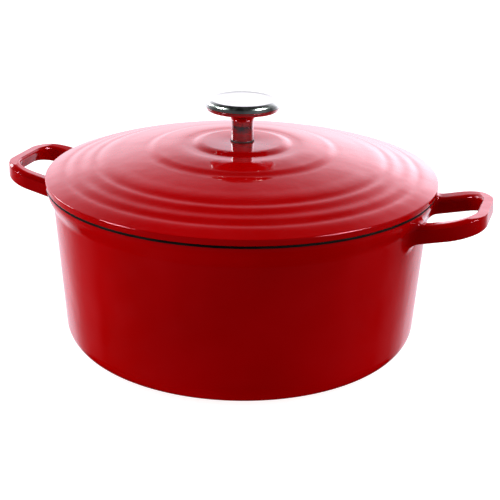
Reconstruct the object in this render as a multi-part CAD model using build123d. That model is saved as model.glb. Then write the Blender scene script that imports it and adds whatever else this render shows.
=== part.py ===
"""Round enamelled cast iron dutch oven: pot with cast loop handles, domed ringed lid and a bolted steel knob.

Frame: millimetres, origin at the centre of the underside of the base, +Z up, loop handles along +X and -X.
"""

import os
from math import cos, radians

from build123d import *

# Pot casting
POT_BASE_RADIUS = 132.1      # where the tapered wall line would meet the table
WALL_TAPER = 0.0683          # growth of the wall radius per millimetre of height
BASE_CORNER_RADIUS = 15.0
IRON_TOP = 122.4             # top of the bare iron lip
RIM_TOP = 123.0              # top of the black coat, where the lid rests
LIP_RADIUS = 143.9
LIP_HEIGHT = 3.0             # straight outer edge of the lip
LIP_FLARE = 13.0             # height over which the wall flares out to the lip
WALL_THICKNESS = 4.0
BASE_THICKNESS = 5.0
CAVITY_CORNER_RADIUS = 14.0

# Enamel coats that have a colour of their own
LINING_THICKNESS = 0.6
RIM_COAT = 0.6
RIM_COAT_DROP = 1.8          # how far the black coat comes down the edge of the lip

# Loop handles, cast in one with the pot. Plan sizes are at the parting line, in the plane of the loop.
HANDLE_TIP = 185.1           # from the pot's axis to the outer face of the grip
HANDLE_HALF_WIDTH = 40.6
HANDLE_OUTER_CORNER = 27.5
HANDLE_INNER_CORNER = 14.5
ARM_THICKNESS = 14.0
GRIP_THICKNESS = 8.2
HANDLE_HEIGHT = 14.0
PARTING_LINE = 4.0           # above the loop's middle plane
DRAFT_BELOW = 10.2           # degrees that both faces lean in below the parting line
DRAFT_ABOVE = 8.0
HANDLE_TOP_ROUND = 3.2
HANDLE_BOTTOM_ROUND = 1.8
HANDLE_RISE_ANGLE = 13.3     # degrees that the loop climbs away from the wall
HANDLE_ROOT_RADIUS = 140.0   # radius at which the loop's height is given
HANDLE_ROOT_MIDDLE = 108.1   # height of the middle of the loop at that radius
HANDLE_ANCHOR_RADIUS = 137.6 # how deep the arms run into the wall
ROOT_FILLET = 3.5
ROOT_SEARCH = 1.0            # how near the wall an edge lies that counts as a root edge
HANDLE_BACK = 40.0           # how far the loop is drawn back past its root before it is trimmed

# Lid casting
LID_RADIUS = 145.0
LID_SEAT = RIM_TOP
LID_EDGE_TOP = 127.1
LID_EDGE_ROUND = 1.3
DISC_RADIUS = 29.0           # flat disc under the knob
DISC_TOP = 151.3
# Radius and height where each ring's slope changes, from the disc out to the flange
LID_RINGS = [
    (32.0, 150.8), (36.6, 149.3), (40.5, 149.1), (45.5, 149.15), (60.0, 147.6), (63.8, 147.0),
    (69.6, 145.25), (75.0, 144.5), (90.0, 142.0), (102.2, 139.5), (106.9, 137.8), (111.8, 137.0),
    (118.2, 134.9), (124.2, 133.7), (130.0, 131.55), (133.6, 131.0), (143.2, 128.0),
]
UNDERSIDE_DOME_RADIUS = 436.0
UNDERSIDE_APEX = 146.2
BOSS_RADIUS = 11.0
BOSS_FACE = 145.0
LOCATING_RING_OUTER = 134.0
LOCATING_RING_INNER = 130.4
LOCATING_RING_BOTTOM = 118.0
LID_HOLE_RADIUS = 3.4

# Knob
GASKET_RADIUS = 8.7
GASKET_THICKNESS = 0.8
STEM_BASE_RADIUS = 8.4
STEM_WAIST_RADIUS = 8.1
STEM_WAIST_RISE = 13.0       # height of the waist above the stem's base
STEM_NECK = (11.0, 171.4)    # radius and height where the stem starts to open out
STEM_THROAT = (17.5, 173.8)  # radius and height where the flare meets the flange
FLANGE_EDGE = 0.6            # bevel under the flange's edge
FLANGE_RADIUS = 26.6
FLANGE_BOTTOM = 175.2
FLANGE_TOP = 177.2
CAP_RADIUS = 27.6
CAP_TOP = 182.9
CAP_FOOT_INSET = 0.9         # how far the cap's foot stands in from its widest part
CAP_WIDEST = 2.6             # height of the widest part above the flange
CAP_RIM_INSET = 2.8          # from the widest part in to the top of the rounded rim
CAP_DISH_SLOPE = 3.0         # width of the slope down into the dish
CAP_DISH_RADIUS = 23.0
CAP_DISH_DEPTH = 0.4
THREAD_RADIUS = 3.0
THREAD_CLEARANCE = 0.05
TAPPED_DEPTH = 14.0

# Fixing under the lid
FLAT_WASHER_RADIUS = 8.0
FLAT_WASHER_THICKNESS = 1.4
SPRING_WASHER_RADIUS = 5.4
SPRING_WASHER_THICKNESS = 1.6
SPRING_WASHER_GAP = 0.9
SPRING_WASHER_SLANT = 25     # degrees that the split leans
WASHER_HOLE_RADIUS = 3.3
SCREW_HEAD_RADIUS = 6.0
SCREW_HEAD_HEIGHT = 3.6
SCREW_HEAD_ROUND = 1.6
SCREW_TIP_CHAMFER = 0.6
SCREW_SLOT_WIDTH = 1.4
SCREW_SLOT_DEPTH = 1.5
SCREW_REACH = 11.0           # length of thread held in the stem


def wall_radius(height):
    """Radius of the pot's outer wall at a height."""
    return POT_BASE_RADIUS + WALL_TAPER * height


def spun(outline):
    """Solid of revolution about Z from a closed outline in the XZ plane."""
    return revolve(make_face(outline), Axis.Z)


def ring(outer, inner, low, high):
    """Plain ring about Z between two heights."""
    tube = Cylinder(outer, high - low) - Cylinder(inner, high - low)
    return Pos(0, 0, (low + high) / 2) * tube


def in_section(points):
    """Polyline in the XZ plane through (radius, height) points."""
    return Plane.XZ * Polyline(*points)


def pot_outside():
    """The pot's outer form as one solid, lip included."""
    flare_start = IRON_TOP - LIP_HEIGHT - LIP_FLARE
    corner_run = BASE_CORNER_RADIUS * (1 - WALL_TAPER)
    floor_end = (POT_BASE_RADIUS - corner_run, 0)
    wall_start = (wall_radius(BASE_CORNER_RADIUS), BASE_CORNER_RADIUS)
    flare_foot = (wall_radius(flare_start), flare_start)
    lip_foot = (LIP_RADIUS, IRON_TOP - LIP_HEIGHT)
    base = in_section([(0, 0), floor_end])
    corner = Plane.XZ * Spline(floor_end, wall_start, tangents=[(1, 0), (WALL_TAPER, 1)])
    wall = in_section([wall_start, flare_foot])
    flare = Plane.XZ * Spline(flare_foot, lip_foot, tangents=[(WALL_TAPER, 1), (0, 1)])
    top = in_section([lip_foot, (LIP_RADIUS, IRON_TOP), (0, IRON_TOP), (0, 0)])
    return spun(base + corner + wall + flare + top)


def cavity(wall, floor):
    """The space inside the pot, inset from the outer wall line by wall and raised by floor."""
    top = IRON_TOP + 1
    corners = [(0, floor), (wall_radius(floor) - wall, floor), (wall_radius(top) - wall, top), (0, top)]
    section = Plane.XZ * make_face(Polyline(*corners, close=True))
    floor_corner = section.vertices().sort_by(Axis.Z)[:2].sort_by(Axis.X)[-1]
    return revolve(fillet(floor_corner, CAVITY_CORNER_RADIUS), Axis.Z)


def loop_plan(half_width, reach, corner):
    """Plan outline of a handle loop in its own plane, straight sided with two rounded outer corners."""
    plan = Pos(-HANDLE_BACK, 0) * Rectangle(reach + HANDLE_BACK, 2 * half_width, align=(Align.MIN, Align.CENTER))
    return fillet(plan.vertices().group_by(Axis.X)[-1], corner)


def drafted(plan, lean):
    """Plan drawn at the parting line and extruded both ways, each way leaning in (1) or out (-1)."""
    up = extrude(plan, HANDLE_HEIGHT / 2 - PARTING_LINE, taper=lean * DRAFT_ABOVE)
    down = extrude(plan, HANDLE_HEIGHT / 2 + PARTING_LINE, dir=(0, 0, -1), taper=lean * DRAFT_BELOW)
    return Pos(0, 0, PARTING_LINE) * (up + down)


def handle_loop():
    """One loop handle on the +X side, drafted from its parting line, that climbs away from the wall."""
    reach = (HANDLE_TIP - HANDLE_ROOT_RADIUS) / cos(radians(HANDLE_RISE_ANGLE))
    outer = loop_plan(HANDLE_HALF_WIDTH, reach, HANDLE_OUTER_CORNER)
    hole = loop_plan(HANDLE_HALF_WIDTH - ARM_THICKNESS, reach - GRIP_THICKNESS, HANDLE_INNER_CORNER)
    loop = drafted(outer, 1) - drafted(hole, -1)
    for level, round_radius in ((-1, HANDLE_TOP_ROUND), (0, HANDLE_BOTTOM_ROUND)):
        edges = loop.edges().group_by(Axis.Z)[level].filter_by(lambda edge: edge.center().X > -HANDLE_BACK / 2)
        loop = fillet(edges, round_radius)
    loop = Pos(HANDLE_ROOT_RADIUS, 0, HANDLE_ROOT_MIDDLE) * Rot(0, -HANDLE_RISE_ANGLE, 0) * loop
    return loop - Cylinder(HANDLE_ANCHOR_RADIUS, 4 * RIM_TOP)


def pot_casting():
    """Iron pot with both loop handles, red outside."""
    body = pot_outside()
    loop = handle_loop()
    casting = body + loop + Rot(0, 0, 180) * loop
    casting = fillet(casting.edges().filter_by(is_root), ROOT_FILLET)
    return casting - cavity(WALL_THICKNESS, BASE_THICKNESS)


def outer_radius(height):
    """Radius of the pot's outside at a height, with the flare out to the lip."""
    flare_start = IRON_TOP - LIP_HEIGHT - LIP_FLARE
    share = min(max((height - flare_start) / LIP_FLARE, 0), 1)
    ease = share ** 2 * (3 - 2 * share)
    return wall_radius(height) * (1 - ease) + LIP_RADIUS * ease


def is_root(edge):
    """Whether an edge is where a handle arm meets the pot wall."""
    middle = edge.position_at(0.5)
    on_wall = abs((middle.X ** 2 + middle.Y ** 2) ** 0.5 - outer_radius(middle.Z)) < ROOT_SEARCH
    at_arm = HANDLE_HALF_WIDTH - ARM_THICKNESS - 2 < abs(middle.Y) < HANDLE_HALF_WIDTH + 2
    at_height = abs(middle.Z - HANDLE_ROOT_MIDDLE) < HANDLE_HEIGHT
    return on_wall and at_arm and at_height and abs(middle.X) > 2 * HANDLE_HALF_WIDTH


def pot_lining():
    """Pale enamel inside the pot."""
    coat = cavity(WALL_THICKNESS, BASE_THICKNESS)
    coat -= cavity(WALL_THICKNESS + LINING_THICKNESS, BASE_THICKNESS + LINING_THICKNESS)
    above = RIM_TOP - RIM_COAT_DROP
    return coat - Pos(0, 0, above + 5) * Cylinder(2 * LID_RADIUS, 10)


def pot_rim_coat():
    """Matt black coat that wraps the lip, on which the lid rests."""
    inner = wall_radius(IRON_TOP) - WALL_THICKNESS
    low = RIM_TOP - RIM_COAT_DROP
    outline = in_section([
        (inner - LINING_THICKNESS, low), (inner - LINING_THICKNESS, RIM_TOP),
        (LIP_RADIUS + RIM_COAT, RIM_TOP), (LIP_RADIUS + RIM_COAT, low),
        (LIP_RADIUS, low), (LIP_RADIUS, IRON_TOP), (inner, IRON_TOP),
        (wall_radius(low) - WALL_THICKNESS, low), (inner - LINING_THICKNESS, low),
    ])
    return spun(outline)


def dome_height(radius):
    """Height of the lid's smooth underside at a radius."""
    return UNDERSIDE_APEX - radius ** 2 / (2 * UNDERSIDE_DOME_RADIUS)


def lid_section(coat):
    """Half section of the lid, its underside thickened by coat inside the boss and locating ring."""
    disc = in_section([(0, DISC_TOP), (DISC_RADIUS, DISC_TOP)])
    rings = Plane.XZ * Spline((DISC_RADIUS, DISC_TOP), *LID_RINGS, tangents=[(1, 0), (3, -1)])
    edge_top = (LID_RADIUS, LID_EDGE_TOP - LID_EDGE_ROUND)
    edge = Plane.XZ * Spline(LID_RINGS[-1], edge_top, tangents=[(3, -1), (0, -1)])
    band = in_section([
        edge_top, (LID_RADIUS, LID_SEAT), (LOCATING_RING_OUTER + coat, LID_SEAT),
        (LOCATING_RING_OUTER + coat, LOCATING_RING_BOTTOM - coat),
        (LOCATING_RING_INNER - coat, LOCATING_RING_BOTTOM - coat),
        (LOCATING_RING_INNER - coat, dome_height(LOCATING_RING_INNER) - coat),
    ])
    middle = LOCATING_RING_INNER / 2
    dome = Plane.XZ * ThreePointArc(
        (LOCATING_RING_INNER - coat, dome_height(LOCATING_RING_INNER) - coat),
        (middle, dome_height(middle) - coat),
        (BOSS_RADIUS, dome_height(BOSS_RADIUS) - coat),
    )
    boss = in_section([
        (BOSS_RADIUS, dome_height(BOSS_RADIUS) - coat), (BOSS_RADIUS, BOSS_FACE), (0, BOSS_FACE), (0, DISC_TOP),
    ])
    return make_face(disc + rings + edge + band + dome + boss)


def lid_casting():
    """Ringed dome of the lid, red on top, drilled for the knob screw."""
    return revolve(lid_section(0), Axis.Z) - Cylinder(LID_HOLE_RADIUS, 4 * DISC_TOP)


def lid_lining():
    """Pale enamel under the lid, over the locating ring."""
    return revolve(lid_section(LINING_THICKNESS) - lid_section(0), Axis.Z)


def knob_gasket():
    """Thin black seal between the stem and the lid."""
    return ring(GASKET_RADIUS, LID_HOLE_RADIUS, DISC_TOP, DISC_TOP + GASKET_THICKNESS)


def knob_stem():
    """Turned steel stem that flares into the flange under the cap, tapped from below."""
    base = DISC_TOP + GASKET_THICKNESS
    waist = (STEM_WAIST_RADIUS, base + STEM_WAIST_RISE)
    shank = in_section([(0, base), (STEM_BASE_RADIUS, base), waist])
    flare = Plane.XZ * Spline(waist, STEM_NECK, STEM_THROAT, tangents=[(0, 1), (5, 1)])
    flange = in_section([
        STEM_THROAT, (FLANGE_RADIUS - FLANGE_EDGE, FLANGE_BOTTOM), (FLANGE_RADIUS, FLANGE_BOTTOM + FLANGE_EDGE),
        (FLANGE_RADIUS, FLANGE_TOP), (0, FLANGE_TOP), (0, base),
    ])
    bore = Pos(0, 0, base + TAPPED_DEPTH / 2) * Cylinder(THREAD_RADIUS + THREAD_CLEARANCE, TAPPED_DEPTH)
    return spun(shank + flare + flange) - bore


def knob_cap():
    """Round steel cap with a full rounded rim and a shallow dished top."""
    foot_edge = (CAP_RADIUS - CAP_FOOT_INSET, FLANGE_TOP)
    widest = (CAP_RADIUS, FLANGE_TOP + CAP_WIDEST)
    rim_top = (CAP_RADIUS - CAP_RIM_INSET, CAP_TOP)
    foot = in_section([(0, FLANGE_TOP), foot_edge])
    rim = Plane.XZ * Spline(foot_edge, widest, rim_top, tangents=[(1, 0.4), (-1, 0)])
    dish_edge = (CAP_DISH_RADIUS + CAP_DISH_SLOPE / 3, CAP_TOP)
    dish_floor = (CAP_DISH_RADIUS - CAP_DISH_SLOPE, CAP_TOP - CAP_DISH_DEPTH)
    top = in_section([rim_top, dish_edge])
    dish = Plane.XZ * Spline(dish_edge, dish_floor, tangents=[(-1, 0), (-1, 0)])
    middle = in_section([dish_floor, (0, CAP_TOP - CAP_DISH_DEPTH), (0, FLANGE_TOP)])
    return spun(foot + rim + top + dish + middle)


def flat_washer():
    """Washer against the boss under the lid."""
    return ring(FLAT_WASHER_RADIUS, WASHER_HOLE_RADIUS, BOSS_FACE - FLAT_WASHER_THICKNESS, BOSS_FACE)


def spring_washer():
    """Split washer between the flat washer and the screw head."""
    high = BOSS_FACE - FLAT_WASHER_THICKNESS
    low = high - SPRING_WASHER_THICKNESS
    split = Pos(SPRING_WASHER_RADIUS, 0, (low + high) / 2) * Rot(SPRING_WASHER_SLANT, 0, 0)
    cutter = split * Box(SPRING_WASHER_RADIUS * 2, SPRING_WASHER_GAP, 4 * SPRING_WASHER_THICKNESS)
    return ring(SPRING_WASHER_RADIUS, WASHER_HOLE_RADIUS, low, high) - cutter


def knob_screw():
    """Slotted screw that holds the knob from inside the lid."""
    head_top = BOSS_FACE - FLAT_WASHER_THICKNESS - SPRING_WASHER_THICKNESS
    tip = DISC_TOP + GASKET_THICKNESS + SCREW_REACH
    head = Pos(0, 0, head_top - SCREW_HEAD_HEIGHT / 2) * Cylinder(SCREW_HEAD_RADIUS, SCREW_HEAD_HEIGHT)
    head = fillet(head.edges().group_by(Axis.Z)[0], SCREW_HEAD_ROUND)
    slot_height = head_top - SCREW_HEAD_HEIGHT + SCREW_SLOT_DEPTH / 2
    slot = Pos(0, 0, slot_height) * Box(4 * SCREW_HEAD_RADIUS, SCREW_SLOT_WIDTH, SCREW_SLOT_DEPTH)
    shank = Pos(0, 0, (head_top + tip) / 2) * Cylinder(THREAD_RADIUS, tip - head_top)
    shank = chamfer(shank.edges().group_by(Axis.Z)[-1], SCREW_TIP_CHAMFER)
    return head - slot + shank


NODES = {
    "pot_casting": pot_casting,
    "pot_lining": pot_lining,
    "pot_rim_coat": pot_rim_coat,
    "lid_casting": lid_casting,
    "lid_lining": lid_lining,
    "knob_gasket": knob_gasket,
    "knob_stem": knob_stem,
    "knob_cap": knob_cap,
    "flat_washer": flat_washer,
    "spring_washer": spring_washer,
    "knob_screw": knob_screw,
}

os.makedirs("parts", exist_ok=True)
for node_name, make_node in NODES.items():
    export_step(make_node(), f"parts/{node_name}.step")
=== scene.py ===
"""Looks of the enamelled cast iron dutch oven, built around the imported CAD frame. Lengths in the outlines are
in millimetres and are turned into metres by MM where a mesh is made."""
import math

import bmesh
import bpy
import numpy as np
from mathutils import Matrix, Vector

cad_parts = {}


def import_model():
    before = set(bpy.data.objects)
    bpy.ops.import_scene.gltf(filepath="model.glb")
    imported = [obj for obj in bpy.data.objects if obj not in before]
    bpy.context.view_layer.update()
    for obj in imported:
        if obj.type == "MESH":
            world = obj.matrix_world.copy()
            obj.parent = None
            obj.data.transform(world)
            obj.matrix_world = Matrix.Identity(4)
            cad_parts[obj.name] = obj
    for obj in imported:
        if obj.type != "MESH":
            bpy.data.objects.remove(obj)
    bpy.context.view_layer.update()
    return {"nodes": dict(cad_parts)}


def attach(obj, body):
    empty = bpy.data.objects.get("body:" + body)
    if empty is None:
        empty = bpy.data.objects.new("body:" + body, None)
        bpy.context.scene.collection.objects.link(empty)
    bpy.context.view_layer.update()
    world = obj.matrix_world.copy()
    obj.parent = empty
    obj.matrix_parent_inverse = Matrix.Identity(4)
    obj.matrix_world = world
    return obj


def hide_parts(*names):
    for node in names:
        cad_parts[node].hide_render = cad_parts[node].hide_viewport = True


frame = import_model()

MM = 0.001
LATHE_SEGMENTS = 256
ARC_STEP = math.radians(9)

# Pot casting, in millimetres
POT_BASE_RADIUS = 132.1
WALL_TAPER = 0.0683
BASE_CORNER = 15.0
IRON_TOP = 122.4
LIP_RADIUS = 143.9
LIP_STRAIGHT = 3.0
LIP_FLARE = 13.0
WALL = 4.0
FLOOR = 5.0
CAVITY_CORNER = 14.0
LINING = 0.6
RIM_TOP = 123.0
RIM_COAT_DROP = 1.8

# Loop handles. Tip and root are radii in plan, and the loop's widths and corners hold at its parting line.
HANDLE_TIP = 185.1
HANDLE_HALF_WIDTH = 40.6
HANDLE_OUTER_CORNER = 27.5
HANDLE_INNER_CORNER = 14.5
ARM = 14.0
GRIP = 8.2
HANDLE_HEIGHT = 14.0
PARTING_LINE = 4.0
DRAFT_BELOW = 0.18
DRAFT_ABOVE = 0.14
PARTING_STEP = 0.8
PARTING_STEP_RUN = 0.7
CROWN_SLOPE = 0.12
HANDLE_TOP_ROUND = 3.4
HANDLE_BOTTOM_ROUND = 2.2
HANDLE_RISE = math.radians(13.3)
HANDLE_ROOT = 140.0
HANDLE_ROOT_MIDDLE = 108.1
HANDLE_BACK = 40.0          # the loop starts this far behind the root, and the cavity cuts it off
HOLE_BACK = 60.0
ROOT_BLEND = 8.0
REMESH_VOXEL = 1.5
HANDLE_FINE_FROM = 143.0
PROJECTION_STEPS = 5
PROJECTION_PROBE = 0.05
NORMAL_PROBE = 0.25

# Lid
LID_RADIUS = 145.0
LID_EDGE_TOP = 127.1
DISC_RADIUS = 29.0
DISC_TOP = 151.3
LID_RINGS = [
    (32.0, 150.8), (36.6, 149.3), (40.5, 149.1), (45.5, 149.15), (60.0, 147.6), (63.8, 147.0),
    (69.6, 145.25), (75.0, 144.5), (90.0, 142.0), (102.2, 139.5), (106.9, 137.8), (111.8, 137.0),
    (118.2, 134.9), (124.2, 133.7), (130.0, 131.55), (133.6, 131.0), (143.2, 128.0),
]
DOME_RADIUS = 436.0
DOME_APEX = 146.2
BOSS_RADIUS = 11.0
BOSS_FACE = 145.0
LOCATING_OUTER = 134.0
LOCATING_INNER = 130.4
LOCATING_BOTTOM = 118.0
LID_HOLE = 3.4

# Knob
GASKET_TOP = 152.1
SEAL_RADIUS = 8.75
STEM_BASE = 8.4
STEM_WAIST = 8.1
FLANGE_RADIUS = 26.6
FLANGE_BOTTOM = 175.2
FLANGE_TOP = 177.2
CAP_RADIUS = 27.6
CAP_TOP = 182.9
DISH_FLOOR = 182.5
DISH_RADIUS = 20.0


# ---------------------------------------------------------------- outlines

def rounded(corners):
    """Outline through (radius, height, fillet) corners, each fillet sampled as an arc."""
    points = [np.array(corner[:2], float) for corner in corners]
    outline = [points[0]]
    for index in range(1, len(corners) - 1):
        here = points[index]
        back, ahead = points[index - 1] - here, points[index + 1] - here
        back_length, ahead_length = np.linalg.norm(back), np.linalg.norm(ahead)
        back, ahead = back / back_length, ahead / ahead_length
        fillet = corners[index][2] if len(corners[index]) > 2 else 0.0
        half = math.acos(float(np.clip(back @ ahead, -1, 1))) / 2
        if fillet <= 0 or half > math.radians(89.5):
            outline.append(here)
            continue
        reach = min(fillet / math.tan(half), 0.48 * back_length, 0.48 * ahead_length)
        radius = reach * math.tan(half)
        bisector = (back + ahead) / np.linalg.norm(back + ahead)
        centre = here + bisector * radius / math.sin(half)
        first, last = here + back * reach - centre, here + ahead * reach - centre
        turn = math.pi - 2 * half
        steps = max(2, math.ceil(turn / ARC_STEP))
        for step in range(steps + 1):
            share = step / steps
            blend = first * math.sin((1 - share) * turn) + last * math.sin(share * turn)
            outline.append(centre + blend / math.sin(turn))
    outline.append(points[-1])
    return outline


def curve_through(points, spacing, start_slope=None, end_slope=None):
    """Smooth height curve through (radius, height) points, as a cubic with averaged slopes."""
    radius, height = np.array(points, float).T
    chord = np.diff(height) / np.diff(radius)
    slope = np.empty(len(radius))
    gap = np.diff(radius)
    slope[1:-1] = (chord[:-1] * gap[1:] + chord[1:] * gap[:-1]) / (gap[1:] + gap[:-1])
    slope[0] = chord[0] if start_slope is None else start_slope
    slope[-1] = chord[-1] if end_slope is None else end_slope
    out = []
    for i in range(len(gap)):
        steps = max(2, math.ceil(gap[i] / spacing))
        for t in np.arange(steps) / steps:
            out.append((
                radius[i] + t * gap[i],
                (2 * t ** 3 - 3 * t ** 2 + 1) * height[i] + (t ** 3 - 2 * t ** 2 + t) * gap[i] * slope[i]
                + (3 * t ** 2 - 2 * t ** 3) * height[i + 1] + (t ** 3 - t ** 2) * gap[i] * slope[i + 1],
            ))
    out.append((radius[-1], height[-1]))
    return out


# ---------------------------------------------------------------- meshes

def finish_mesh(name, vertices, faces, normals, material, body, slot, replaced=()):
    """Object from arrays in metres, smooth shaded with its own exact normals, riding on a body."""
    mesh = bpy.data.meshes.new(name)
    mesh.from_pydata(vertices.tolist(), [], faces)
    mesh.update()
    mesh.shade_smooth()
    if normals is not None:
        mesh.normals_split_custom_set_from_vertices(normals.tolist())
    mesh.materials.append(material)
    piece = bpy.data.objects.new(name, mesh)
    bpy.context.scene.collection.objects.link(piece)
    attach(piece, body)
    if replaced:
        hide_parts(*replaced)
    return piece


def lathe(outline, closed=False, segments=LATHE_SEGMENTS):
    """Vertices, faces and normals of a solid of revolution. The outline runs with the solid on its left: out
    along the bottom, up the side and back in. Points on the axis become poles, and a closed outline is a ring
    that misses the axis."""
    points = []
    for point in outline:
        if not points or np.linalg.norm(np.array(point) - points[-1]) > 1e-4:
            points.append(np.array(point, float))
    if closed and np.linalg.norm(points[0] - points[-1]) < 1e-4:
        points.pop()
    points = np.array(points)
    count = len(points)
    ahead = np.roll(points, -1, 0) - points
    back = points - np.roll(points, 1, 0)
    if not closed:
        ahead[-1], back[0] = 0, 0
    along = ahead * np.linalg.norm(ahead, axis=1)[:, None] + back * np.linalg.norm(back, axis=1)[:, None]
    along /= np.linalg.norm(along, axis=1)[:, None]
    outward = np.stack([along[:, 1], -along[:, 0]], 1)
    angles = np.arange(segments) * 2 * math.pi / segments
    vertices, normals, rows = [], [], []
    for (radius, height), (out, up) in zip(points, outward):
        if radius < 1e-6:
            rows.append([len(vertices)] * segments)
            vertices.append((0, 0, height))
            normals.append((0, 0, math.copysign(1, up)))
            continue
        rows.append(list(range(len(vertices), len(vertices) + segments)))
        vertices += [(radius * math.cos(a), radius * math.sin(a), height) for a in angles]
        normals += [(out * math.cos(a), out * math.sin(a), up) for a in angles]
    faces = []
    for i in range(count if closed else count - 1):
        low, high = rows[i], rows[(i + 1) % count]
        for j in range(segments):
            k = (j + 1) % segments
            face = []
            for v in (low[j], low[k], high[k], high[j]):
                if v not in face:
                    face.append(v)
            faces.append(face)
    return np.array(vertices) * MM, faces, np.array(normals)


# ---------------------------------------------------------------- pot casting

def rounded_meet(a, b, radius):
    """Inside both of two distance fields, with the edge between them rounded."""
    a, b = a + radius, b + radius
    return np.minimum(np.maximum(a, b), 0) + np.hypot(np.maximum(a, 0), np.maximum(b, 0)) - radius


def melt(a, b, reach):
    """Inside either of two distance fields, with a cast fillet between them."""
    near = np.maximum(reach - np.abs(a - b), 0) / reach
    return np.minimum(a, b) - near ** 2 * reach / 4


def wall_line(height):
    return POT_BASE_RADIUS + WALL_TAPER * height


def outer_radius(height):
    """Wall radius with the flare that turns out to the lip."""
    start = IRON_TOP - LIP_STRAIGHT - LIP_FLARE
    share = np.clip((height - start) / LIP_FLARE, 0, 1)
    ease = share ** 2 * (3 - 2 * share)
    return wall_line(height) * (1 - ease) + LIP_RADIUS * ease


def rounded_box(u, v, back, tip, half_width, corner):
    """Distance in plan to a rectangle with rounded corners."""
    du = np.abs(u - (back + tip) / 2) - (tip - back) / 2 + corner
    dv = np.abs(v) - half_width + corner
    return np.hypot(np.maximum(du, 0), np.maximum(dv, 0)) + np.minimum(np.maximum(du, dv), 0) - corner


def handle_field(x, y, z):
    """Distance to both loop handles."""
    out, up = np.abs(x) - HANDLE_ROOT, z - HANDLE_ROOT_MIDDLE
    along = out * math.cos(HANDLE_RISE) + up * math.sin(HANDLE_RISE)
    above = up * math.cos(HANDLE_RISE) - out * math.sin(HANDLE_RISE)
    reach = (HANDLE_TIP - HANDLE_ROOT) / math.cos(HANDLE_RISE)
    outer = rounded_box(along, y, -HANDLE_BACK, reach, HANDLE_HALF_WIDTH, HANDLE_OUTER_CORNER)
    inner = rounded_box(along, y, -HOLE_BACK, reach - GRIP, HANDLE_HALF_WIDTH - ARM, HANDLE_INNER_CORNER)
    over, under = np.maximum(above - PARTING_LINE, 0), np.maximum(PARTING_LINE - above, 0)
    draft = DRAFT_ABOVE * over + DRAFT_BELOW * under
    step = PARTING_STEP * (1 - np.exp(-over / PARTING_STEP_RUN))
    band = np.maximum(outer + draft + step, draft - inner)
    top = above - HANDLE_HEIGHT / 2 + CROWN_SLOPE * np.maximum(-outer, 0)
    bottom = -above - HANDLE_HEIGHT / 2
    return rounded_meet(rounded_meet(band, top, HANDLE_TOP_ROUND), bottom, HANDLE_BOTTOM_ROUND)


def casting_field(points):
    """Distance to the pot casting: wall, base, lip and handles, with the cavity taken out."""
    x, y, z = points.T
    radius = np.hypot(x, y)
    lean = math.cos(math.atan(WALL_TAPER))
    body = rounded_meet((radius - outer_radius(z)) * lean, -z, BASE_CORNER)
    body = melt(body, handle_field(x, y, z), ROOT_BLEND)
    cavity = rounded_meet((radius - wall_line(z) + WALL) * lean, FLOOR - z, CAVITY_CORNER)
    return np.maximum(np.maximum(body, z - IRON_TOP), -cavity)


def gradient(field, points, step):
    sides = []
    for axis in range(3):
        offset = np.zeros(3)
        offset[axis] = step
        sides.append((field(points + offset) - field(points - offset)) / (2 * step))
    return np.stack(sides, 1)


def pot_mesh(material):
    """The casting's mesh: the CAD solid remeshed evenly, then each point moved onto the smooth field."""
    source = bpy.data.objects.new("pot_source", frame["nodes"]["pot_casting"].data.copy())
    bpy.context.scene.collection.objects.link(source)
    remesh = source.modifiers.new("even", "REMESH")
    remesh.mode = "VOXEL"
    remesh.voxel_size = REMESH_VOXEL * MM
    bpy.context.view_layer.update()
    even = bpy.data.meshes.new_from_object(source.evaluated_get(bpy.context.evaluated_depsgraph_get()))
    bpy.data.objects.remove(source)
    fine = bmesh.new()
    fine.from_mesh(even)
    near = [edge for edge in fine.edges if min(abs(v.co.x) for v in edge.verts) > HANDLE_FINE_FROM * MM]
    bmesh.ops.subdivide_edges(fine, edges=near, cuts=1, use_grid_fill=True)
    fine.to_mesh(even)
    fine.free()
    points = np.empty(len(even.vertices) * 3)
    even.vertices.foreach_get("co", points)
    points = points.reshape(-1, 3) / MM
    for _ in range(PROJECTION_STEPS):
        slope = gradient(casting_field, points, PROJECTION_PROBE)
        length = np.maximum((slope ** 2).sum(1), 0.2)
        step = slope * (casting_field(points) / length)[:, None]
        size = np.linalg.norm(step, axis=1)[:, None]
        points -= step * np.minimum(1, 1.0 / np.maximum(size, 1e-9))
    normals = gradient(casting_field, points, NORMAL_PROBE)
    normals /= np.linalg.norm(normals, axis=1)[:, None]
    faces = [list(polygon.vertices) for polygon in even.polygons]
    bpy.data.meshes.remove(even)
    return finish_mesh("pot_body", points * MM, faces, normals, material,
                       "pot", "red_enamel", ["pot_casting"])


def pot_coats(cream, black):
    """Cream enamel inside the pot and the matt black coat over the lip."""
    top = RIM_TOP - RIM_COAT_DROP
    iron_wall = lambda height: wall_line(height) - WALL
    lined = rounded([
        (0, FLOOR), (iron_wall(FLOOR), FLOOR, CAVITY_CORNER), (iron_wall(top), top, 0),
        (iron_wall(top) - LINING, top, 0),
        (iron_wall(FLOOR) - LINING, FLOOR + LINING, CAVITY_CORNER - LINING), (0, FLOOR + LINING),
    ])
    finish_mesh("pot_inside", *lathe(lined), cream, "pot", "cream_enamel", ["pot_lining"])
    inner = iron_wall(IRON_TOP)
    rim = rounded([
        (inner, top, 0), (inner, IRON_TOP, 0), (LIP_RADIUS, IRON_TOP, 0.2), (LIP_RADIUS, top, 0),
        (LIP_RADIUS + 0.6, top, 0.25), (LIP_RADIUS + 0.6, RIM_TOP, 0.8),
        (inner - LINING, RIM_TOP, 0.5), (inner - LINING, top, 0), (inner, top, 0),
    ])
    finish_mesh("pot_rim", *lathe(rim, closed=True), black, "pot", "black_enamel", ["pot_rim_coat"])


# ---------------------------------------------------------------- lid

def dome(radius):
    return DOME_APEX - radius ** 2 / (2 * DOME_RADIUS)


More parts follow.
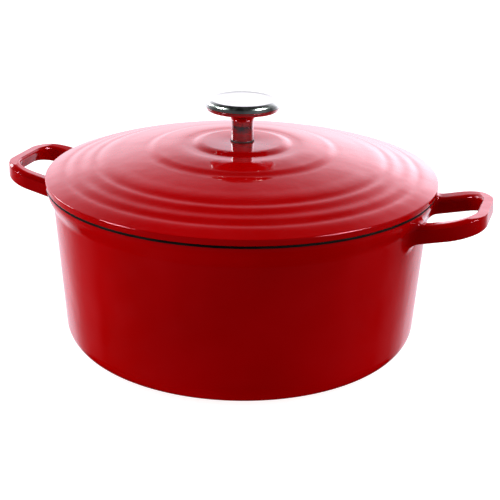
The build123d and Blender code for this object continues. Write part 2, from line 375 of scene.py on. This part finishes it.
def dome_run(inner, outer, drop, steps=40):
    """Underside of the lid between two radii, lowered by drop."""
    return [(r, dome(r) - drop) for r in np.linspace(inner, outer, steps)]


def lid_pieces(red, cream):
    """Ringed lid casting and the cream coat under it."""
    top = [(0, DISC_TOP), (DISC_RADIUS - 2, DISC_TOP)]
    top += curve_through([(DISC_RADIUS - 2, DISC_TOP), (DISC_RADIUS + 0.6, DISC_TOP - 0.06), *LID_RINGS],
                         0.9, start_slope=0.0, end_slope=-0.33)
    edge = rounded([
        LID_RINGS[-1], (LID_RADIUS, LID_EDGE_TOP + 0.25, 1.5), (LID_RADIUS, RIM_TOP, 0.9),
        (LOCATING_OUTER, RIM_TOP, 0), (LOCATING_OUTER, LOCATING_BOTTOM, 0),
        (LOCATING_INNER, LOCATING_BOTTOM, 0), (LOCATING_INNER, dome(LOCATING_INNER)),
    ])
    under = dome_run(LOCATING_INNER, BOSS_RADIUS, 0)
    boss = [(BOSS_RADIUS, BOSS_FACE), (LID_HOLE, BOSS_FACE)]
    section = [(LID_HOLE, DISC_TOP)] + [p for p in top if p[0] > LID_HOLE] + edge + under + boss
    section = section[::-1]
    finish_mesh("lid_shell", *lathe(section, closed=True), red, "lid", "red_enamel", ["lid_casting"])

    # This outline runs with the solid on its right, so the coat's faces and normals point into it.
    coat = LINING
    lined = dome_run(BOSS_RADIUS, LOCATING_INNER, 0)
    lined += [(LOCATING_INNER, LOCATING_BOTTOM), (LOCATING_OUTER, LOCATING_BOTTOM), (LOCATING_OUTER, RIM_TOP)]
    lined += rounded([
        (LOCATING_OUTER, RIM_TOP), (LOCATING_OUTER + coat, RIM_TOP, 0.0),
        (LOCATING_OUTER + coat, LOCATING_BOTTOM - coat, 1.3),
        (LOCATING_INNER - coat, LOCATING_BOTTOM - coat, 1.5),
        (LOCATING_INNER - coat, dome(LOCATING_INNER) - coat, 3.0),
        (LOCATING_INNER - 20, dome(LOCATING_INNER - 20) - coat),
    ])
    lined += dome_run(LOCATING_INNER - 21, BOSS_RADIUS, coat)
    finish_mesh("lid_inside", *lathe(lined, closed=True), cream, "lid", "cream_enamel", ["lid_lining"])


# ---------------------------------------------------------------- knob

def knob_pieces(satin, polished, rubber):
    """Cap, stem and seal."""
    cap = rounded([
        (0, FLANGE_TOP), (CAP_RADIUS - 0.6, FLANGE_TOP, 0.4), (CAP_RADIUS, FLANGE_TOP + 0.9, 0.8),
        (CAP_RADIUS - 1.0, CAP_TOP - 1.5, 4.0), (CAP_RADIUS - 3.8, CAP_TOP, 2.4),
        (DISH_RADIUS, DISH_FLOOR, 12), (0, DISH_FLOOR),
    ])
    finish_mesh("knob_cap_piece", *lathe(cap), satin, "lid", "satin_steel", ["knob_cap"])
    stem = rounded([
        (0, GASKET_TOP), (STEM_BASE, GASKET_TOP, 0.4), (STEM_WAIST, GASKET_TOP + 12, 40),
        (STEM_WAIST + 0.2, 169.4, 5.5), (17.0, 173.7, 9), (FLANGE_RADIUS - 0.3, FLANGE_BOTTOM, 0.9),
        (FLANGE_RADIUS + 0.1, FLANGE_TOP, 0.4), (0, FLANGE_TOP),
    ])
    finish_mesh("knob_stem_piece", *lathe(stem), polished, "lid", "polished_steel", ["knob_stem"])
    seal = rounded([
        (LID_HOLE, GASKET_TOP, 0), (LID_HOLE, DISC_TOP, 0), (SEAL_RADIUS, DISC_TOP, 0.2),
        (SEAL_RADIUS, GASKET_TOP, 0.3), (LID_HOLE, GASKET_TOP, 0),
    ])
    finish_mesh("knob_seal", *lathe(seal, closed=True), rubber, "lid", "black_rubber", ["knob_gasket"])


# ---------------------------------------------------------------- materials

class Nodes:
    """Short way to lay out a material's node tree."""

    def __init__(self, name):
        self.material = bpy.data.materials.new(name)
        self.material.use_nodes = True
        self.tree = self.material.node_tree
        self.shader = self.tree.nodes["Principled BSDF"]
        self.place = self.add("ShaderNodeTexCoord").outputs["Object"]

    def add(self, kind, **settings):
        node = self.tree.nodes.new(kind)
        for key, value in settings.items():
            setattr(node, key, value)
        return node

    def link(self, source, target):
        self.tree.links.new(source, target)

    def noise(self, scale, detail=3.0, roughness=0.5, vector=None):
        node = self.add("ShaderNodeTexNoise")
        node.inputs["Scale"].default_value = scale
        node.inputs["Detail"].default_value = detail
        node.inputs["Roughness"].default_value = roughness
        self.link(vector or self.place, node.inputs["Vector"])
        return node.outputs["Fac"]

    def ramp(self, value, low, high, out_low=0.0, out_high=1.0):
        node = self.add("ShaderNodeMapRange", interpolation_type="SMOOTHSTEP")
        for key, number in (("From Min", low), ("From Max", high), ("To Min", out_low), ("To Max", out_high)):
            node.inputs[key].default_value = number
        self.link(value, node.inputs["Value"])
        return node.outputs["Result"]

    def mix(self, share, first, second):
        node = self.add("ShaderNodeMix", data_type="RGBA")
        self.link(share, node.inputs["Factor"])
        for socket, colour in ((node.inputs["A"], first), (node.inputs["B"], second)):
            if isinstance(colour, tuple):
                socket.default_value = (*colour, 1)
            else:
                self.link(colour, socket)
        return node.outputs["Result"]

    def bump(self, height, distance, strength=1.0, base=None):
        node = self.add("ShaderNodeBump")
        node.inputs["Distance"].default_value = distance
        node.inputs["Strength"].default_value = strength
        self.link(height, node.inputs["Height"])
        if base is not None:
            self.link(base, node.inputs["Normal"])
        return node.outputs["Normal"]

    def set(self, **values):
        for key, value in values.items():
            socket = self.shader.inputs[key.replace("_", " ")]
            if isinstance(value, bpy.types.NodeSocket):
                self.link(value, socket)
            else:
                socket.default_value = (*value, 1) if isinstance(value, tuple) else value


def enamel(name, deep, thin, smooth, rough, ripple, tint=(1.0, 1.0, 1.0)):
    """Fired enamel: colour that drifts between two tones, with a faint orange peel and slow waves."""
    n = Nodes(name)
    drift = n.ramp(n.noise(14, 4), 0.3, 0.7)
    colour = n.mix(drift, deep, thin)
    peel = n.bump(n.noise(240, 2), 0.00006 * ripple)
    waves = n.bump(n.noise(38, 1.5), 0.0006 * ripple, base=peel)
    n.set(Base_Color=colour, Roughness=n.ramp(n.noise(55, 5), 0.3, 0.7, smooth, rough), Normal=waves,
          IOR=1.52, Specular_Tint=tint)
    return n.material


def make_materials():
    red = enamel("red_enamel_gloss", (0.31, 0.0, 0.0), (0.35, 0.0, 0.0006), 0.04, 0.09, 0.6,
                 tint=(1.0, 0.35, 0.5))
    cream = enamel("cream_enamel_gloss", (0.74, 0.68, 0.55), (0.80, 0.75, 0.63), 0.12, 0.2, 1.2)
    n = Nodes("black_rim_matt")
    n.set(Base_Color=n.mix(n.ramp(n.noise(60, 4), 0.4, 0.7), (0.004, 0.004, 0.004), (0.009, 0.008, 0.007)),
          Roughness=n.ramp(n.noise(200, 3), 0.3, 0.7, 0.42, 0.6), Normal=n.bump(n.noise(900, 3), 0.0001),
          Specular_IOR_Level=0.12)
    black = n.material
    n = Nodes("seal_rubber")
    n.set(Base_Color=n.mix(n.noise(300, 2), (0.012, 0.012, 0.012), (0.03, 0.03, 0.03)), Roughness=0.6,
          Normal=n.bump(n.noise(1500, 2), 0.00005))
    rubber = n.material
    n = Nodes("polished_knob_steel")
    n.set(Base_Color=n.mix(n.noise(90, 3), (0.60, 0.61, 0.62), (0.70, 0.70, 0.70)), Metallic=1.0,
          Roughness=n.ramp(n.noise(150, 4), 0.3, 0.7, 0.04, 0.10), Normal=n.bump(n.noise(700, 2), 0.00002))
    polished = n.material
    n = Nodes("satin_knob_steel")
    n.set(Base_Color=n.mix(n.noise(70, 3), (0.50, 0.585, 0.54), (0.56, 0.65, 0.60)), Metallic=1.0,
          Roughness=n.ramp(n.noise(150, 4), 0.3, 0.7, 0.14, 0.24), Normal=n.bump(n.noise(900, 2), 0.00002))
    satin = n.material
    n = Nodes("zinc_fastener")
    n.set(Base_Color=n.mix(n.noise(400, 3), (0.5, 0.5, 0.48), (0.62, 0.61, 0.57)), Metallic=1.0,
          Roughness=n.ramp(n.noise(500, 4), 0.3, 0.7, 0.25, 0.4), Normal=n.bump(n.noise(1500, 2), 0.00003))
    return red, cream, black, rubber, polished, satin, n.material


# ---------------------------------------------------------------- stage, light and camera

CAMERA_TURN = math.radians(18.46)     # how far the view is turned from square on to the handles
CAMERA_REACH = 0.8350
CAMERA_HEIGHT = 0.3887
CAMERA_PITCH = math.radians(21.311)
CAMERA_ROLL = math.radians(0.8205)
CAMERA_LENS = 84.34
CAMERA_SHIFT = (0.0187, 0.0038)

FLOOR_HALF = 4.0
FLOOR_DROP = 0.0002                   # keeps the floor just clear of the pot's base

# What mirror-like surfaces see, as curves of (value, brightness) stops. BACK and RIGHT go by the cosine of
# the bearing from straight behind the object and from its right, HEIGHT by the sine of the elevation.
# HIGH_SHARE says how much of RIGHT_HIGH, against RIGHT_LOW, holds at each sine of the elevation.
GLOSS_BACK = [
    (-1, 0.04), (0, 0.02), (0.17, 0.01), (0.47, 0.14), (0.59, 0.3), (0.72, 0.69), (0.8, 1.0), (1, 1.0),
]
GLOSS_RIGHT_HIGH = [(-1, 1.4), (-0.34, 1.25), (0, 1.0), (0.17, 1.55), (0.34, 2.1), (1, 2.1)]
GLOSS_RIGHT_LOW = [(-1, 1.15), (-0.5, 1.15), (0, 1.0), (1, 1.2)]
GLOSS_HIGH_SHARE = [(-1, 0.0), (-0.2, 0.0), (0.05, 1.0), (1, 1.0)]
GLOSS_HEIGHT = [
    (-1, 0.0), (-0.6, 0.0), (-0.55, 0.35), (-0.48, 1.0), (-0.25, 1.0), (-0.1, 1.3), (0.1, 1.7), (0.25, 1.75),
    (0.31, 1.6), (0.41, 1.15), (0.5, 0.68), (0.59, 0.4), (0.67, 0.2), (0.74, 0.08), (0.81, 0.02), (1, 0.02),
]
GLOSS_TINT = (1, 0.88, 1, 1)
# Broad lobes of scattered light: bearing from straight behind the object, positive to the right, elevation,
# and strength.
SCATTERED_LIGHT = [
    (-90, 0, 2.6), (-45, 0, 2.4), (0, 0, 1.6), (45, 0, 2.1), (90, 0, 1.95),
    (0, 34, 1.9), (90, 40, 0.8), (-90, -40, 1.1), (90, -40, 0.3),
]
LOBE_POWER = 3.0
# Softboxes seen only as highlights: name, azimuth from the camera, elevation, distance, width, height, power
SOFTBOXES = [
    ("key_left", -84, 40, 1.6, 0.45, 0.4, 20),
    ("key_right", 71, 45, 1.6, 0.6, 0.4, 26),
    ("edge_left", -128, 24, 1.8, 0.35, 0.6, 7),
]
SOFTBOX_AIM = Vector((0, 0, 0.1))


def camera():
    data = bpy.data.cameras.new("view")
    data.sensor_width = 36
    data.lens = CAMERA_LENS
    data.shift_x, data.shift_y = CAMERA_SHIFT
    data.clip_start, data.clip_end = 0.01, 50
    view = bpy.data.objects.new("view", data)
    away = -CAMERA_REACH * math.cos(CAMERA_TURN)
    place = Vector((CAMERA_REACH * math.sin(CAMERA_TURN), away, CAMERA_HEIGHT))
    turn = Matrix.Rotation(CAMERA_TURN, 4, "Z") @ Matrix.Rotation(math.pi / 2 - CAMERA_PITCH, 4, "X")
    view.matrix_world = Matrix.Translation(place) @ turn @ Matrix.Rotation(CAMERA_ROLL, 4, "Z")
    bpy.context.scene.collection.objects.link(view)
    bpy.context.scene.camera = view


def floor():
    """White floor that glows. It isn't seen in reflections and throws no scattered light on the object."""
    corners = [(x * FLOOR_HALF, y * FLOOR_HALF, 0) for x, y in ((-1, -1), (1, -1), (1, 1), (-1, 1))]
    mesh = bpy.data.meshes.new("floor")
    mesh.from_pydata(corners, [], [(0, 1, 2, 3)])
    plane = bpy.data.objects.new("floor", mesh)
    bpy.context.scene.collection.objects.link(plane)
    n = Nodes("floor_white")
    n.set(Base_Color=(0.35, 0.35, 0.35), Roughness=0.9,
          Emission_Color=(1.0, 1.0, 1.0), Emission_Strength=0.92)
    mesh.materials.append(n.material)
    plane.visible_glossy = False
    plane.visible_diffuse = False
    plane.location.z = -FLOOR_DROP


def world():
    """Studio that is plain white to the camera. Mirror-like surfaces see a bright backdrop behind the object
    that is brighter on the right and fades overhead and towards the front. Scattered light comes from broad
    lobes."""
    made = bpy.data.worlds.new("studio")
    bpy.context.scene.world = made
    made.use_nodes = True
    tree = made.node_tree
    tree.nodes.clear()

    def add(kind, **settings):
        node = tree.nodes.new(kind)
        for key, value in settings.items():
            setattr(node, key, value)
        return node

    def combine(operation, *values):
        node = add("ShaderNodeMath", operation=operation)
        for socket, value in zip(node.inputs, values):
            if isinstance(value, (int, float)):
                socket.default_value = value
            else:
                tree.links.new(value, socket)
        return node.outputs[0]

    def dot(vector):
        node = add("ShaderNodeVectorMath", operation="DOT_PRODUCT")
        tree.links.new(direction, node.inputs[0])
        node.inputs[1].default_value = vector
        return node.outputs["Value"]

    def curve(value, stops):
        """Piecewise linear curve through (value, result) stops, for values from -1 to 1."""
        node = add("ShaderNodeFloatCurve")
        points = node.mapping.curves[0].points
        while len(points) < len(stops):
            points.new(0.5, 0.5)
        top = max(result for _, result in stops)
        for point, (at, result) in zip(points, stops):
            point.location = ((at + 1) / 2, result / top)
            point.handle_type = "VECTOR"
        node.mapping.extend = "HORIZONTAL"
        node.mapping.update()
        tree.links.new(combine("MULTIPLY_ADD", value, 0.5, 0.5), node.inputs["Value"])
        return combine("MULTIPLY", node.outputs["Value"], top)

    def blend(share, first, second):
        rest = combine("SUBTRACT", 1.0, share)
        return combine("ADD", combine("MULTIPLY", first, share), combine("MULTIPLY", second, rest))

    direction = add("ShaderNodeTexCoord").outputs["Generated"]
    up = dot((0, 0, 1))
    level = combine("SQRT", combine("SUBTRACT", 1.0001, combine("MULTIPLY", up, up)))
    back = combine("DIVIDE", dot((-math.sin(CAMERA_TURN), math.cos(CAMERA_TURN), 0)), level)
    right = combine("DIVIDE", dot((math.cos(CAMERA_TURN), math.sin(CAMERA_TURN), 0)), level)

    lean = blend(curve(up, GLOSS_HIGH_SHARE), curve(right, GLOSS_RIGHT_HIGH), curve(right, GLOSS_RIGHT_LOW))
    glossy = combine("MULTIPLY", lean, combine("MULTIPLY", curve(back, GLOSS_BACK), curve(up, GLOSS_HEIGHT)))

    scattered = None
    for azimuth, elevation, strength in SCATTERED_LIGHT:
        bearing, rise = CAMERA_TURN - math.radians(azimuth), math.radians(elevation)
        flat = math.cos(rise)
        toward = (-math.sin(bearing) * flat, math.cos(bearing) * flat, math.sin(rise))
        facing = combine("MAXIMUM", dot(toward), 0.0)
        lobe = combine("MULTIPLY", combine("POWER", facing, LOBE_POWER), strength)
        scattered = lobe if scattered is None else combine("ADD", scattered, lobe)

    path = add("ShaderNodeLightPath")
    seen = blend(path.outputs["Is Diffuse Ray"], scattered, glossy)
    strength = combine("MAXIMUM", seen, path.outputs["Is Camera Ray"])
    tint = add("ShaderNodeMix", data_type="RGBA")
    tint.inputs["A"].default_value = (1, 1, 1, 1)
    tint.inputs["B"].default_value = GLOSS_TINT
    tree.links.new(path.outputs["Is Glossy Ray"], tint.inputs["Factor"])
    background = add("ShaderNodeBackground")
    tree.links.new(tint.outputs["Result"], background.inputs["Color"])
    tree.links.new(strength, background.inputs["Strength"])
    tree.links.new(background.outputs[0], add("ShaderNodeOutputWorld").inputs["Surface"])
    made.cycles.sampling_method = "NONE"


def softbox(name, azimuth, elevation, distance, width, height, power):
    """Rectangular light aimed at the middle of the object. Azimuth 0 is at the camera, positive to its right.
    It shows in reflections only."""
    data = bpy.data.lights.new(name, "AREA")
    data.shape = "RECTANGLE"
    data.size, data.size_y = width, height
    data.energy = power
    lamp = bpy.data.objects.new(name, data)
    bearing = CAMERA_TURN + math.radians(azimuth)
    rise = math.radians(elevation)
    flat = distance * math.cos(rise)
    place = Vector((flat * math.sin(bearing), -flat * math.cos(bearing), distance * math.sin(rise)))
    lamp.location = place + SOFTBOX_AIM
    lamp.rotation_euler = place.to_track_quat("Z", "Y").to_euler()
    lamp.visible_camera = False
    lamp.visible_diffuse = False
    bpy.context.scene.collection.objects.link(lamp)


red, cream, black, rubber, polished, satin, zinc = make_materials()
camera()
floor()
world()
for box in SOFTBOXES:
    softbox(*box)

pot_mesh(red)
pot_coats(cream, black)
lid_pieces(red, cream)
knob_pieces(satin, polished, rubber)
for name in ("flat_washer", "spring_washer", "knob_screw"):
    node = frame["nodes"][name]
    node.data.materials.clear()
    node.data.materials.append(zinc)

bpy.context.scene.view_settings.view_transform = "Standard"
